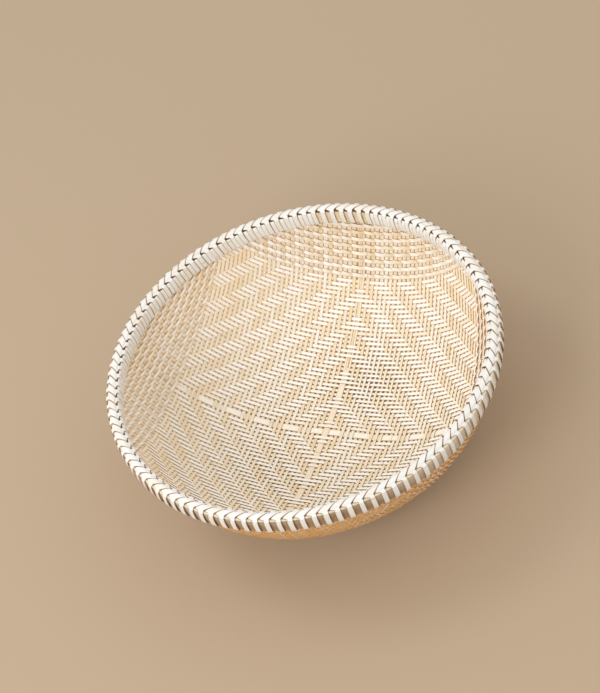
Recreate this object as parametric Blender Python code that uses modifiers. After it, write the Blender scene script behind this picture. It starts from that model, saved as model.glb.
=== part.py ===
"""Round bamboo zaru basket, modelled mouth up and resting on its flat base.

Metres, +Z up. The origin is at the middle of the flat base. The long axes of the
strips run along X and Y, so the four twined panels face +X, -X, +Y and -Y.
"""
import math

import bmesh
import bpy
from mathutils import Matrix, Vector

# Driving dimensions
RIM_RADIUS = 0.150
OVERALL_HEIGHT = 0.106
BASE_FLAT_RADIUS = 0.026
WALL_THICKNESS = 0.0016
WALL_BAND_HEIGHT = 0.0143
HOOP_HEIGHT = 0.012
HOOP_THICKNESS = 0.002
HOOP_CHAMFER = 0.0005
WRAP_THICKNESS = 0.0006
WRAP_CROWN = 0.001
WRAP_DEPTH = 0.008
BINDING_WIDTH = 0.0046
BINDING_THICKNESS = 0.0008
SEAT_GAP = 0.0003
SLOT_SIDE_CLEARANCE = 0.0004
CUT_OVERRUN = 0.002

# Rim binding: one strip that winds round both hoops, one turn to each slot in the wall,
# and the shares of a turn that it has gone round the basket at its highest places
BINDING_TURNS = 114
OUTSIDE_TOP_SHARE = -0.05
CROWN_SHARE = 0.4
INSIDE_TOP_SHARE = 0.85

# Bowl curve, from the edge of the flat base out to the upright band under the rim
CURVE_STEPS = 7
BELLY_SHARE = 0.67
BELLY_POWER = 2
SHOULDER_POWER = 9

# Where each twined panel starts: its height as a share of the basket's, then its distance
# from the middle at that height and at the rim, as shares of the rim's radius
PANEL_RISE_SHARE = 0.38
RIGHT_START_SHARE = 0.745
RIGHT_RIM_SHARE = 0.676
BACK_START_SHARE = 0.8383
BACK_RIM_SHARE = 0.7073
LEFT_START_SHARE = 0.8198
LEFT_RIM_SHARE = 0.682
FRONT_START_SHARE = 0.81
FRONT_RIM_SHARE = 0.7047
PANEL_SIDES = {
    "right": (RIGHT_START_SHARE, RIGHT_RIM_SHARE, 0),
    "back": (BACK_START_SHARE, BACK_RIM_SHARE, 90),
    "left": (LEFT_START_SHARE, LEFT_RIM_SHARE, 180),
    "front": (FRONT_START_SHARE, FRONT_RIM_SHARE, 270),
}

# Scarf joints, where the two ends of a hoop lie over each other
SCARF_GAP = 0.0004
SCARF_LENGTH = 0.0094
OUTER_SCARF_DEG = 118
INNER_SCARF_DEG = 262

# Tone and roughness of each piece's bamboo
FINISHES = {
    "base_strips": ((0.74, 0.61, 0.42), 0.55),
    "panel_strips": ((0.70, 0.55, 0.35), 0.6),
    "inner_hoop_bamboo": ((0.68, 0.52, 0.32), 0.5),
    "outer_hoop_bamboo": ((0.66, 0.49, 0.29), 0.45),
    "edge_wrap_strip": ((0.84, 0.76, 0.60), 0.5),
    "binding_strip": ((0.86, 0.79, 0.64), 0.45),
}

# Seats that follow from the sizes above
OUTER_HOOP_OUTSIDE = RIM_RADIUS - BINDING_THICKNESS - SEAT_GAP
OUTER_HOOP_INSIDE = OUTER_HOOP_OUTSIDE - HOOP_THICKNESS
WALL_OUTSIDE = OUTER_HOOP_INSIDE - WRAP_THICKNESS - 2 * SEAT_GAP
WALL_INSIDE = WALL_OUTSIDE - WALL_THICKNESS
INNER_HOOP_OUTSIDE = WALL_INSIDE - WRAP_THICKNESS - 2 * SEAT_GAP
INNER_HOOP_INSIDE = INNER_HOOP_OUTSIDE - HOOP_THICKNESS
WALL_MIDDLE = WALL_INSIDE + WALL_THICKNESS / 2
WRAP_TOP = OVERALL_HEIGHT - BINDING_THICKNESS - SEAT_GAP
HOOP_TOP = WRAP_TOP - WRAP_CROWN - SEAT_GAP
HOOP_BOTTOM = HOOP_TOP - HOOP_HEIGHT
BAND_BOTTOM = HOOP_TOP - WALL_BAND_HEIGHT
BINDING_LOW = HOOP_BOTTOM - SEAT_GAP - BINDING_THICKNESS / 2
TURN_ANGLE = 2 * math.pi / BINDING_TURNS
PANEL_START_HEIGHT = PANEL_RISE_SHARE * OVERALL_HEIGHT

parts = None
cutters = None


def start_scene():
    """Empty the file and make one collection for the basket and one for its cutters."""
    global parts, cutters
    for old in list(bpy.data.objects):
        bpy.data.objects.remove(old, do_unlink=True)
    parts = bpy.data.collections.new("zaru_basket")
    cutters = bpy.data.collections.new("cutters")
    bpy.context.scene.collection.children.link(parts)
    bpy.context.scene.collection.children.link(cutters)


def bamboo(name):
    """Return a new material with one of the bamboo finishes."""
    color, roughness = FINISHES[name]
    material = bpy.data.materials.new(name)
    material.use_nodes = True
    shader = material.node_tree.nodes["Principled BSDF"]
    shader.inputs["Base Color"].default_value = (*color, 1)
    shader.inputs["Roughness"].default_value = roughness
    shader.inputs["Metallic"].default_value = 0
    return material


def add_part(name, bm, material=None, collection=None):
    """Make an object of a bmesh and put it in the basket's collection, or in another."""
    mesh = bpy.data.meshes.new(name)
    bm.to_mesh(mesh)
    bm.free()
    piece = bpy.data.objects.new(name, mesh)
    (collection or parts).objects.link(piece)
    if material:
        mesh.materials.append(material)
    return piece


def add_cutter(name, bm):
    """Make a cutter, which shows as wires and isn't part of the basket."""
    cutter = add_part(name, bm, collection=cutters)
    cutter.hide_render = True
    cutter.display_type = "WIRE"
    return cutter


def turn_profile(name, outline, closed, material):
    """Turn an outline of (radius, height) points into a ring or a bowl about Z."""
    bm = bmesh.new()
    points = [bm.verts.new((radius, 0, height)) for radius, height in outline]
    for first, second in zip(points, points[1:]):
        bm.edges.new((first, second))
    if closed:
        bm.edges.new((points[-1], points[0]))
    piece = add_part(name, bm, material)
    screw = piece.modifiers.new("turn", "SCREW")
    screw.axis = "Z"
    screw.steps = BINDING_TURNS
    screw.render_steps = BINDING_TURNS
    screw.use_merge_vertices = True
    screw.merge_threshold = WALL_THICKNESS / BINDING_TURNS
    screw.use_smooth_shade = True
    return piece


def cut(piece, cutter, operation="DIFFERENCE"):
    """Cut a piece with a cutter, or keep only what lies inside the cutter."""
    boolean = piece.modifiers.new(cutter.name, "BOOLEAN")
    boolean.operation = operation
    boolean.solver = "EXACT"
    boolean.object = cutter


def bowl_curve():
    """Return the inner line of the bowl as (radius, height), from the middle to the top edge."""
    rise = BAND_BOTTOM - WALL_THICKNESS
    reach = WALL_INSIDE - BASE_FLAT_RADIUS
    line = [(0, WALL_THICKNESS)]
    for step in range(CURVE_STEPS + 1):
        out = math.sin(step / CURVE_STEPS * math.pi / 2)
        up = BELLY_SHARE * out ** BELLY_POWER + (1 - BELLY_SHARE) * out ** SHOULDER_POWER
        line.append((BASE_FLAT_RADIUS + reach * out, WALL_THICKNESS + rise * up))
    line.append((WALL_INSIDE, HOOP_TOP))
    return line


def outer_line(line, thickness):
    """Return the line that lies one thickness outside a bowl's inner line."""
    moved = []
    for index, (radius, height) in enumerate(line):
        before = Vector(line[max(index - 1, 0)])
        here = Vector((radius, height))
        after = Vector(line[min(index + 1, len(line) - 1)])
        if index == 0:
            along_in = along_out = (after - here).normalized()
        elif index == len(line) - 1:
            along_in = along_out = (here - before).normalized()
        else:
            along_in, along_out = (here - before).normalized(), (after - here).normalized()
        mean = (along_in + along_out).normalized()
        normal = Vector((mean.y, -mean.x))
        mitre = normal.dot(Vector((along_in.y, -along_in.x)))
        moved.append(tuple(here + normal * (thickness / mitre)))
    return moved


def panel_cutter(side, gap):
    """Make the block that holds one twined panel, its near face leaning in towards the rim."""
    start_share, rim_share, heading = PANEL_SIDES[side]
    lean_in = (start_share - rim_share) * RIM_RADIUS
    size = 2 * RIM_RADIUS
    bm = bmesh.new()
    bmesh.ops.create_cube(bm, size=size)
    lean = Matrix.Rotation(-math.atan2(lean_in, HOOP_TOP - PANEL_START_HEIGHT), 4, "Y")
    shift = Matrix.Translation((size / 2 + gap, 0, 0))
    place = Matrix.Translation((start_share * RIM_RADIUS, 0, PANEL_START_HEIGHT))
    turn = Matrix.Rotation(math.radians(heading), 4, "Z")
    bmesh.ops.transform(bm, matrix=turn @ place @ lean @ shift, verts=bm.verts)
    kind = "clearance" if gap < 0 else "panel"
    return add_cutter(f"{side}_{kind}_block", bm)


def slot_cutter():
    """Make the blocks that cut one slot in the wall for each turn of the binding."""
    bm = bmesh.new()
    depth = WALL_THICKNESS + 2 * CUT_OVERRUN
    width = BINDING_WIDTH + 2 * SLOT_SIDE_CLEARANCE
    height = BINDING_THICKNESS + 2 * SLOT_SIDE_CLEARANCE
    size = Matrix.Diagonal((depth, width, height, 1))
    place = Matrix.Translation((WALL_MIDDLE, 0, BINDING_LOW))
    for turn in range(BINDING_TURNS):
        angle = Matrix.Rotation((turn + 1 / 2) * TURN_ANGLE, 4, "Z")
        bmesh.ops.create_cube(bm, size=1, matrix=angle @ place @ size)
    return add_cutter("slot_blocks", bm)


def woven_shell(name, material):
    """Return the whole bowl with the slots cut, ready to be parted into its woven fields."""
    inside = bowl_curve()
    outside = outer_line(inside, WALL_THICKNESS)
    outside[0] = (0, 0)
    shell = turn_profile(name, inside + outside[::-1], False, material)
    cut(shell, bpy.data.objects["slot_blocks"])
    return shell


def woven_fields():
    """Make the twill base and the four twined panels, with a seat gap between them."""
    slot_cutter()
    base = woven_shell("woven_base", bamboo("base_strips"))
    for side in PANEL_SIDES:
        block = panel_cutter(side, SEAT_GAP / 2)
        clearance = panel_cutter(side, -SEAT_GAP / 2)
        panel = woven_shell(f"twined_panel_{side}", bamboo("panel_strips"))
        cut(panel, block, "INTERSECT")
        cut(base, clearance)


def scarf_cutter(name, radius, heading):
    """Make the thin slanted slab that parts the two overlapping ends of a hoop."""
    bm = bmesh.new()
    size = Matrix.Diagonal((SCARF_GAP, 2 * SCARF_LENGTH, HOOP_HEIGHT + 2 * CUT_OVERRUN, 1))
    slope = Matrix.Rotation(math.atan2(HOOP_THICKNESS, SCARF_LENGTH), 4, "Z")
    place = Matrix.Translation((radius, 0, HOOP_BOTTOM + HOOP_HEIGHT / 2))
    turn = Matrix.Rotation(math.radians(heading), 4, "Z")
    bmesh.ops.create_cube(bm, size=1, matrix=turn @ place @ slope @ size)
    return add_cutter(name, bm)


def outer_hoop():
    """Make the flat strip that is bent round the outside of the wall."""
    outline = [
        (OUTER_HOOP_INSIDE, HOOP_TOP),
        (OUTER_HOOP_OUTSIDE - HOOP_CHAMFER, HOOP_TOP),
        (OUTER_HOOP_OUTSIDE, HOOP_TOP - HOOP_CHAMFER),
        (OUTER_HOOP_OUTSIDE, HOOP_BOTTOM + HOOP_CHAMFER),
        (OUTER_HOOP_OUTSIDE - HOOP_CHAMFER, HOOP_BOTTOM),
        (OUTER_HOOP_INSIDE, HOOP_BOTTOM),
    ]
    hoop = turn_profile("outer_hoop", outline, True, bamboo("outer_hoop_bamboo"))
    middle = OUTER_HOOP_INSIDE + HOOP_THICKNESS / 2
    cut(hoop, scarf_cutter("outer_scarf_slab", middle, OUTER_SCARF_DEG))


def inner_hoop():
    """Make the strip that is bent round the inside of the wall."""
    outline = [
        (INNER_HOOP_INSIDE, HOOP_TOP - HOOP_CHAMFER),
        (INNER_HOOP_INSIDE + HOOP_CHAMFER, HOOP_TOP),
        (INNER_HOOP_OUTSIDE, HOOP_TOP),
        (INNER_HOOP_OUTSIDE, HOOP_BOTTOM),
        (INNER_HOOP_INSIDE, HOOP_BOTTOM),
    ]
    hoop = turn_profile("inner_hoop", outline, True, bamboo("inner_hoop_bamboo"))
    middle = INNER_HOOP_INSIDE + HOOP_THICKNESS / 2
    cut(hoop, scarf_cutter("inner_scarf_slab", middle, INNER_SCARF_DEG))


def edge_wrap():
    """Make the wrap over the cut strip ends, a saddle whose legs go down behind both hoops."""
    inside_leg = WALL_THICKNESS / 2 + SEAT_GAP
    outside_leg = inside_leg + WRAP_THICKNESS
    leg_end = HOOP_TOP - WRAP_DEPTH
    under = HOOP_TOP + SEAT_GAP
    shoulder = under + SEAT_GAP
    outline = [
        (WALL_MIDDLE - inside_leg, under),
        (WALL_MIDDLE - inside_leg, leg_end),
        (WALL_MIDDLE - outside_leg, leg_end),
        (WALL_MIDDLE - outside_leg, shoulder),
        (WALL_MIDDLE, WRAP_TOP),
        (WALL_MIDDLE + outside_leg, shoulder),
        (WALL_MIDDLE + outside_leg, leg_end),
        (WALL_MIDDLE + inside_leg, leg_end),
        (WALL_MIDDLE + inside_leg, under),
    ]
    turn_profile("edge_wrap", outline, True, bamboo("edge_wrap_strip"))


def binding_stations():
    """Return one turn of the binding as (radius, height, share of a turn), outside to inside."""
    half = BINDING_THICKNESS / 2
    outside = RIM_RADIUS - half
    inside = INNER_HOOP_INSIDE - SEAT_GAP - half
    crown = OVERALL_HEIGHT - half
    edge = HOOP_TOP - SEAT_GAP
    inset = half + SEAT_GAP + HOOP_CHAMFER
    shoulder = edge + inset
    return [
        (outside, BINDING_LOW, 0),
        (outside, edge, OUTSIDE_TOP_SHARE),
        (outside - inset, shoulder, OUTSIDE_TOP_SHARE),
        ((outside + inside) / 2, crown, CROWN_SHARE),
        (inside + inset, shoulder, INSIDE_TOP_SHARE),
        (inside, edge, INSIDE_TOP_SHARE),
        (inside, BINDING_LOW, 1),
    ]


def rim_place(radius, height, turns):
    """Return a point of the rim at a number of turns of the binding round the basket."""
    angle = (turns + 1 / 2) * TURN_ANGLE
    return Vector((radius * math.cos(angle), radius * math.sin(angle), height))


def binding_route():
    """Return the middle line of the whole strip, with both ends tucked into one slot."""
    tuck = WALL_THICKNESS / 2 - SEAT_GAP
    route = [rim_place(WALL_MIDDLE + tuck, BINDING_LOW, 0)]
    for turn in range(BINDING_TURNS):
        route += [rim_place(radius, height, turn + share) for radius, height, share in binding_stations()]
    route.append(rim_place(WALL_MIDDLE - tuck, BINDING_LOW, BINDING_TURNS))
    return route


def binding_edges(route):
    """Return the two long edges of the flat strip that follows a route round the rim."""
    middle = Vector((0, 0, (WRAP_TOP + BINDING_LOW) / 2))
    edges = []
    for index, point in enumerate(route):
        before = route[max(index - 1, 0)]
        after = route[min(index + 1, len(route) - 1)]
        along = (point - before).normalized() + (after - point).normalized()
        spoke = Vector((point.x, point.y, 0)).normalized() * WALL_MIDDLE
        off = point - (spoke + middle)
        around = Vector((0, 0, 1)).cross(spoke).normalized()
        off -= around * off.dot(around)
        across = along.cross(off).normalized()
        edges.append((point - across * BINDING_WIDTH / 2, point + across * BINDING_WIDTH / 2))
    return edges


def least_turn_gap(edges):
    """Return the smallest distance from one turn's edge to the next turn's, less the strip."""
    per_turn = len(binding_stations())
    body = edges[1:-1]
    gaps = []
    for (left, right), (next_left, next_right) in zip(body, body[per_turn:]):
        middle, next_middle = (left + right) / 2, (next_left + next_right) / 2
        across = (right - left).normalized()
        gaps.append(abs((next_middle - middle).dot(across)) - BINDING_WIDTH)
    return min(gaps)


def rim_binding():
    """Make the one unbroken strip that binds the hoops to the wall and its edge wrap."""
    edges = binding_edges(binding_route())
    bm = bmesh.new()
    rows = [(bm.verts.new(left), bm.verts.new(right)) for left, right in edges]
    for (left, right), (next_left, next_right) in zip(rows, rows[1:]):
        bm.faces.new((left, right, next_right, next_left))
    strip = add_part("rim_binding", bm, bamboo("binding_strip"))
    solid = strip.modifiers.new("thickness", "SOLIDIFY")
    solid.thickness = BINDING_THICKNESS
    solid.offset = 0
    solid.use_even_offset = True
    millimetres = least_turn_gap(edges) * 1000
    print(f"rim_binding: {BINDING_TURNS} turns, least gap between turns {millimetres:.2f} mm")


def main():
    """Build the basket from the woven fields outwards."""
    start_scene()
    woven_fields()
    inner_hoop()
    outer_hoop()
    edge_wrap()
    rim_binding()


main()
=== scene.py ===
"""Looks of a round bamboo zaru basket: a twill mat, four twined panels and a stitched rim.

Metres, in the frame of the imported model: +Z up through the mouth, the base on Z = 0. The strips
that run along Y are called the long strips here, and those along X the cross strips.
"""
from __future__ import annotations

import logging
import math
import random
from dataclasses import dataclass, field
from enum import Enum
from typing import Any, ClassVar

import bpy
import numpy as np
from mathutils import Matrix, Vector


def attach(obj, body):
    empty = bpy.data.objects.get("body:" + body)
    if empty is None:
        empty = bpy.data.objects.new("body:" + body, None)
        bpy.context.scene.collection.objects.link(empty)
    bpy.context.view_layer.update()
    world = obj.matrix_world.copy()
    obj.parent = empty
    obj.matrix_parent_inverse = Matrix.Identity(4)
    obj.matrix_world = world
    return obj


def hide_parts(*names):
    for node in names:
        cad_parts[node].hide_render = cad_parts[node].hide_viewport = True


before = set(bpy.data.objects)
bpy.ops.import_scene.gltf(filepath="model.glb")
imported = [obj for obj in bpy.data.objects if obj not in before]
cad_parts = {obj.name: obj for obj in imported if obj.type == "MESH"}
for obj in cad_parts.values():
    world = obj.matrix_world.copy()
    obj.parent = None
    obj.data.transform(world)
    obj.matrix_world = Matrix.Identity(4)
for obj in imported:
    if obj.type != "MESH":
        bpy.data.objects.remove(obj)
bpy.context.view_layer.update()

BODY = "root"
PHOTO_WIDTH_PX = 600
DRAW_SEED = 29
GRAIN_SEEDS = 40
LOG = logging.getLogger("zaru_basket")

Triple = tuple[float, float, float]
Color = Triple
Station = tuple[float, float, float, float]
"""A strip's place on the rim: its radius, its height, and its middle and width in stitches."""


def mm(length: float) -> float:
    """Return a length given in millimetres, in metres."""
    return length / 1000


def units(vectors: np.ndarray) -> np.ndarray:
    """Return rows of vectors, each brought to length 1."""
    return vectors / np.linalg.norm(vectors, axis=1, keepdims=True)


def for_each(kinds: type[Enum], *values: object) -> Any:
    """Return a dataclass field that holds one value for each member of an Enum, in their order."""
    return field(default_factory=lambda: dict(zip(kinds, values)))


def grain_seed(dice: random.Random) -> float:
    """Draw the number that shifts a strip's grain away from the others'."""
    return dice.random() * GRAIN_SEEDS


def shown(name: str, data: bpy.types.ID) -> bpy.types.Object:
    """Add an object to the scene.

    Args:
        name: Its name.
        data: The mesh, lamp or camera that it shows.

    Returns:
        The object.
    """
    holder = bpy.data.objects.new(name, data)
    bpy.context.scene.collection.objects.link(holder)
    return holder


# Shader expressions


@dataclass(frozen=True)
class Value:
    """An output socket that takes part in Python expressions; each operator adds a Math node."""

    graph: Graph
    socket: bpy.types.NodeSocket

    def math(self, operation: str, first: Value | float, second: Value | float = 0) -> Value:
        """Return the result of one Math operation.

        Args:
            operation: The Math node's operation.
            first: Its first value.
            second: Its second value, which some operations don't use.

        Returns:
            The node's output.
        """
        return self.graph.node("ShaderNodeMath", {"operation": operation}, {0: first, 1: second})

    def __add__(self, other: Value | float) -> Value:
        """Return self + other."""
        return self.math("ADD", self, other)

    def __radd__(self, other: float) -> Value:
        """Return other + self."""
        return self.math("ADD", other, self)

    def __sub__(self, other: Value | float) -> Value:
        """Return self - other."""
        return self.math("SUBTRACT", self, other)

    def __rsub__(self, other: float) -> Value:
        """Return other - self."""
        return self.math("SUBTRACT", other, self)

    def __mul__(self, other: Value | float) -> Value:
        """Return self * other."""
        return self.math("MULTIPLY", self, other)

    def __rmul__(self, other: float) -> Value:
        """Return other * self."""
        return self.math("MULTIPLY", other, self)

    def __truediv__(self, other: Value | float) -> Value:
        """Return self / other."""
        return self.math("DIVIDE", self, other)

    def __rtruediv__(self, other: float) -> Value:
        """Return other / self."""
        return self.math("DIVIDE", other, self)

    def __pow__(self, other: float) -> Value:
        """Return self to the power of other."""
        return self.math("POWER", self, other)

    def clamped(self) -> Value:
        """Return the value held between 0 and 1."""
        return self.graph.node("ShaderNodeClamp", {}, {"Value": self})

    def fraction(self) -> Value:
        """Return the part of the value after the point."""
        return self.math("FRACT", self)

    def size(self) -> Value:
        """Return the value without its sign."""
        return self.math("ABSOLUTE", self)

    def step(self, low: float, high: float) -> Value:
        """Return a smooth step from 0 at low to 1 at high."""
        return self.graph.node(
            "ShaderNodeMapRange",
            {"interpolation_type": "SMOOTHSTEP"},
            {"Value": self, "From Min": low, "From Max": high},
        )

    def parts(self) -> tuple[Value, Value, Value]:
        """Return the three parts of a vector."""
        split = self.graph.node("ShaderNodeSeparateXYZ", {}, {0: self})
        return tuple(Value(self.graph, socket) for socket in split.socket.node.outputs)


class Graph:
    """The node tree of a material or of the world."""

    # The Mix node's sockets for colours go by number, as those for numbers have the same names
    MIX_FIRST, MIX_SECOND, MIX_RESULT = 6, 7, 2

    def __init__(self, owner: bpy.types.Material | bpy.types.World) -> None:
        """Take over a tree and empty it.

        Args:
            owner: The material or the world that the tree belongs to.
        """
        owner.use_nodes = True
        self.tree = owner.node_tree
        self.tree.nodes.clear()

    def node(
        self, kind: str, settings: dict[str, object], inputs: dict[str | int, object],
        output: str | int = 0,
    ) -> Value:
        """Add a node of any kind.

        Args:
            kind: The node's type name.
            settings: Properties that are set first.
            inputs: A value or another node's output for each input, by name or number.
            output: The output wanted, by name or number.

        Returns:
            That output.
        """
        made = self.tree.nodes.new(kind)
        for name, setting in settings.items():
            setattr(made, name, setting)
        for name, value in inputs.items():
            if isinstance(value, Value):
                self.tree.links.new(value.socket, made.inputs[name])
            else:
                made.inputs[name].default_value = value
        return Value(self, made.outputs[output] if made.outputs else None)

    def attribute(self, name: str, output: str = "Fac") -> Value:
        """Return a mesh attribute as a number, or as a vector with output "Vector"."""
        return self.node("ShaderNodeAttribute", {"attribute_name": name}, {}, output)

    def blend(self, share: Value | float, first: Value | Color, second: Value | Color) -> Value:
        """Return a colour between two others.

        Args:
            share: How much of the second there is, from 0 to 1.
            first: The colour at 0.
            second: The colour at 1.

        Returns:
            The mixed colour.
        """
        colors = [(*tone, 1) if isinstance(tone, tuple) else tone for tone in (first, second)]
        return self.node(
            "ShaderNodeMix",
            {"data_type": "RGBA"},
            {0: share, self.MIX_FIRST: colors[0], self.MIX_SECOND: colors[1]},
            self.MIX_RESULT,
        )

    def point(self) -> Value:
        """Return the shaded point in the object's own coordinates."""
        return self.node("ShaderNodeTexCoord", {}, {}, "Object")

    def scaled(self, vector: Value, scale: Triple) -> Value:
        """Return a vector times another, part by part."""
        return self.node("ShaderNodeVectorMath", {"operation": "MULTIPLY"}, {0: vector, 1: scale})

    def noise(self, vector: Value, detail: float = 2, roughness: float = 0.5) -> Value:
        """Return noise from 0 to 1 at a vector."""
        return self.node(
            "ShaderNodeTexNoise",
            {},
            {"Vector": vector, "Scale": 1, "Detail": detail, "Roughness": roughness},
        )

    def surface(self, inputs: dict[str | int, object]) -> None:
        """End the tree in a Principled BSDF that has these inputs."""
        shader = self.node("ShaderNodeBsdfPrincipled", {}, inputs, "BSDF")
        self.node("ShaderNodeOutputMaterial", {}, {"Surface": shader})


# Finishes


@dataclass(frozen=True)
class BambooFinish:
    """Split bamboo, from a pale tone to a ripe one, with fibres and joints.

    Its skin side is darker in patches: bamboo's own skin, deepened with painted shade and warm
    bounced light. Its edges carry painted shade and bounced light where the strips meet; on the
    outer hoop they carry a painted highlight instead. Its cut sides carry painted shade, darker
    towards the foot of the basket.
    """

    name: str
    pale: Color
    ripe: Color
    # skin: bamboo's own skin side, made deeper and warmer to stand in for painted shade and warm
    # bounced light under and outside the strips
    skin: Color = (0.72, 0.38, 0.11)
    # edge: painted shade and warm bounced light along the strips' edges, where they meet their
    # neighbours; on the outer hoop a painted highlight, on the inner hoop painted shade
    edge: Color = (0.50, 0.27, 0.08)
    joint: Color = (0.40, 0.24, 0.11)
    # Painted shade on the strips' cut sides, in the gaps and holes between them: darkest near the foot
    # of the basket, lighter up the wall
    low_side_shade: Color = (0.15, 0.065, 0.015)
    high_side_shade: Color = (0.62, 0.34, 0.10)
    side_shade_heights: tuple[float, float] = (mm(20), mm(80))
    side_shade_contrast: float = 8
    side_shade_share: float = 0.9
    skin_contrast: float = 3
    skin_threshold: float = 0.65
    skin_share: float = 0.85
    edge_shading_share: float = 0.85
    edge_shading_from: float = 0.7
    fibre_scale: Triple = (60, 4.5, 31)
    fibre_detail: tuple[float, float] = (3, 0.6)
    fibre_share: float = 0.35
    fibre_height: float = 0.8
    fibre_roughness: float = 0.3
    patch_scale: Triple = (14, 0.5, 17)
    patch_share: float = 0.5
    joint_spacing: float = 0.24
    joint_width: float = 0.004
    joint_shift: float = 0.618
    joint_share: float = 0.4
    joint_height: float = 1.5
    roughness: float = 0.5
    skin_gloss: float = 0.2
    specular: float = 0.4
    relief: float = mm(0.05)
    relief_strength: float = 0.6

    def grain(self, graph: Graph) -> tuple[Value, Value, Value]:
        """Return a strip's place along, across and by seed, its tone and its skin side."""
        return graph.attribute("strip", "Vector"), graph.attribute("tone"), graph.attribute("skin_side")

    def material(self) -> bpy.types.Material:
        """Make the finish.

        Returns:
            The material.
        """
        material = bpy.data.materials.new(self.name)
        graph = Graph(material)
        place, tone, skin_side = self.grain(graph)
        along, across, seed = place.parts()
        fibre = graph.noise(graph.scaled(place, self.fibre_scale), *self.fibre_detail)
        patch = graph.noise(graph.scaled(place, self.patch_scale))
        share = (tone + (patch - 0.5) * self.patch_share + (fibre - 0.5) * self.fibre_share).clamped()
        color = graph.blend(share, self.pale, self.ripe)
        # The skin side, in patches: bamboo's own skin colour, deepened with painted shade and bounced
        # light
        patchy = (patch * self.skin_contrast - self.skin_threshold).clamped()
        color = graph.blend(skin_side * patchy * self.skin_share, color, self.skin)
        # Painted shade and bounced light along the edges of each strip; on the outer hoop a painted
        # highlight, on the inner hoop painted shade
        edge_shading_mask = (across * across).step(self.edge_shading_from, 1)
        color = graph.blend(edge_shading_mask * self.edge_shading_share, color, self.edge)
        # Painted shade on the cut sides of each strip, darker towards the foot of the basket
        rise = graph.point().parts()[2].step(*self.side_shade_heights)
        cut = graph.blend(rise, self.low_side_shade, self.high_side_shade)
        side_shade_mask = (skin_side * (1 - skin_side) * self.side_shade_contrast).clamped()
        color = graph.blend(side_shade_mask * self.side_shade_share, color, cut)
        turn = (along / self.joint_spacing + seed * self.joint_shift).fraction()
        joint = 1 - (turn - 0.5).size().step(0, self.joint_width)
        color = graph.blend(joint * self.joint_share, color, self.joint)
        height = fibre * self.fibre_height + joint * self.joint_height
        bump = graph.node(
            "ShaderNodeBump",
            {},
            {"Strength": self.relief_strength, "Distance": self.relief, "Height": height},
            "Normal",
        )
        rough = self.roughness - skin_side * self.skin_gloss + (fibre - 0.5) * self.fibre_roughness
        graph.surface({
            "Base Color": color, "Roughness": rough.clamped(), "Normal": bump,
            "Specular IOR Level": self.specular,
        })
        return material


@dataclass(frozen=True)
class HoopFinish(BambooFinish):
    """The finish of a hoop about Z, which is worked out from its points, as it has no attributes.

    A hoop is darker along one stretch of its length, partly its own riper tone and partly painted
    shade, and painted shade darkens it towards its lower edge.
    """

    seeds: float = 800
    wide_scale: Triple = (9, 9, 9)
    # Shares of the tone from random patches, from painted shade low on the hoop, and from the darker
    # stretch of rim
    tone_and_shade_shares: Triple = (0.25, 0.25, 0.85)
    side_power: int = 3
    darkest_deg: float = 288

    def grain(self, graph: Graph) -> tuple[Value, Value, Value]:
        """Work out what a strip's attributes say.

        Args:
            graph: The material's tree.

        Returns:
            The place along, across and by layer, then the tone with its painted shade, and a skin side
            of
            0 throughout.
        """
        point = graph.point()
        x, y, z = point.parts()
        angle = x.math("ARCTAN2", y, x)
        radius = (x * x + y * y) ** 0.5
        shape = RimShape()
        middle = (shape.hoop_top + shape.hoop_bottom) / 2
        half = (shape.hoop_top - shape.hoop_bottom) / 2
        along, across = angle * shape.wall_radius, (z - middle) / half
        place = graph.node("ShaderNodeCombineXYZ", {}, {0: along, 1: across, 2: radius * self.seeds})
        wide = graph.noise(graph.scaled(point, self.wide_scale))
        # Painted shade: darker towards the hoop's lower edge
        painted_low_shade = (middle - z) / half
        # Darker round one stretch of the rim: partly the hoop's own riper tone, partly painted shade on
        # that stretch
        turned = angle - math.radians(self.darkest_deg)
        near_stretch_darkening = turned.math("COSINE", turned) ** self.side_power
        by_patch, by_low_shade, by_near_stretch = self.tone_and_shade_shares
        return place, wide * by_patch + painted_low_shade * by_low_shade + near_stretch_darkening * by_near_stretch, 0 * wide


# The edge colours of the two mat families are painted shade and warm bounced light in the gaps between
# the strips
LONG_FINISH = BambooFinish(
    "long_bamboo", pale=(0.96, 0.91, 0.81), ripe=(0.88, 0.70, 0.44), edge=(0.66, 0.38, 0.11),
    edge_shading_from=0.5,
)
CROSS_FINISH = BambooFinish(
    "cross_bamboo", pale=(0.985, 0.975, 0.95), ripe=(0.88, 0.67, 0.38), edge=(0.80, 0.52, 0.20),
    edge_shading_from=0.45,
)
PANEL_FINISH = BambooFinish("panel_bamboo", pale=(0.95, 0.92, 0.86), ripe=(0.76, 0.55, 0.30))
# The stitches' dark skin side, dark edges and dark cut sides are painted shade in the slits and notches
# between bands and strips; the skin side is in part the bamboo's own
STITCH_FINISH = BambooFinish(
    "stitch_bamboo", pale=(0.84, 0.835, 0.815), ripe=(0.80, 0.69, 0.51), skin=(0.42, 0.24, 0.10),
    edge=(0.44, 0.22, 0.06), skin_share=0.9, edge_shading_share=0.95, edge_shading_from=0.6,
    high_side_shade=(0.17, 0.08, 0.02),
)
# The outer hoop's pale edge colour is a painted highlight along its upper and lower edges; its dark
# ripe colour also carries the painted shade low on the hoop and on its darker stretch
OUTER_FINISH = HoopFinish(
    "outer_hoop_bamboo", pale=(0.95, 0.87, 0.72), ripe=(0.38, 0.25, 0.14), edge=(0.94, 0.84, 0.64),
    edge_shading_from=0.8,
)
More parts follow.
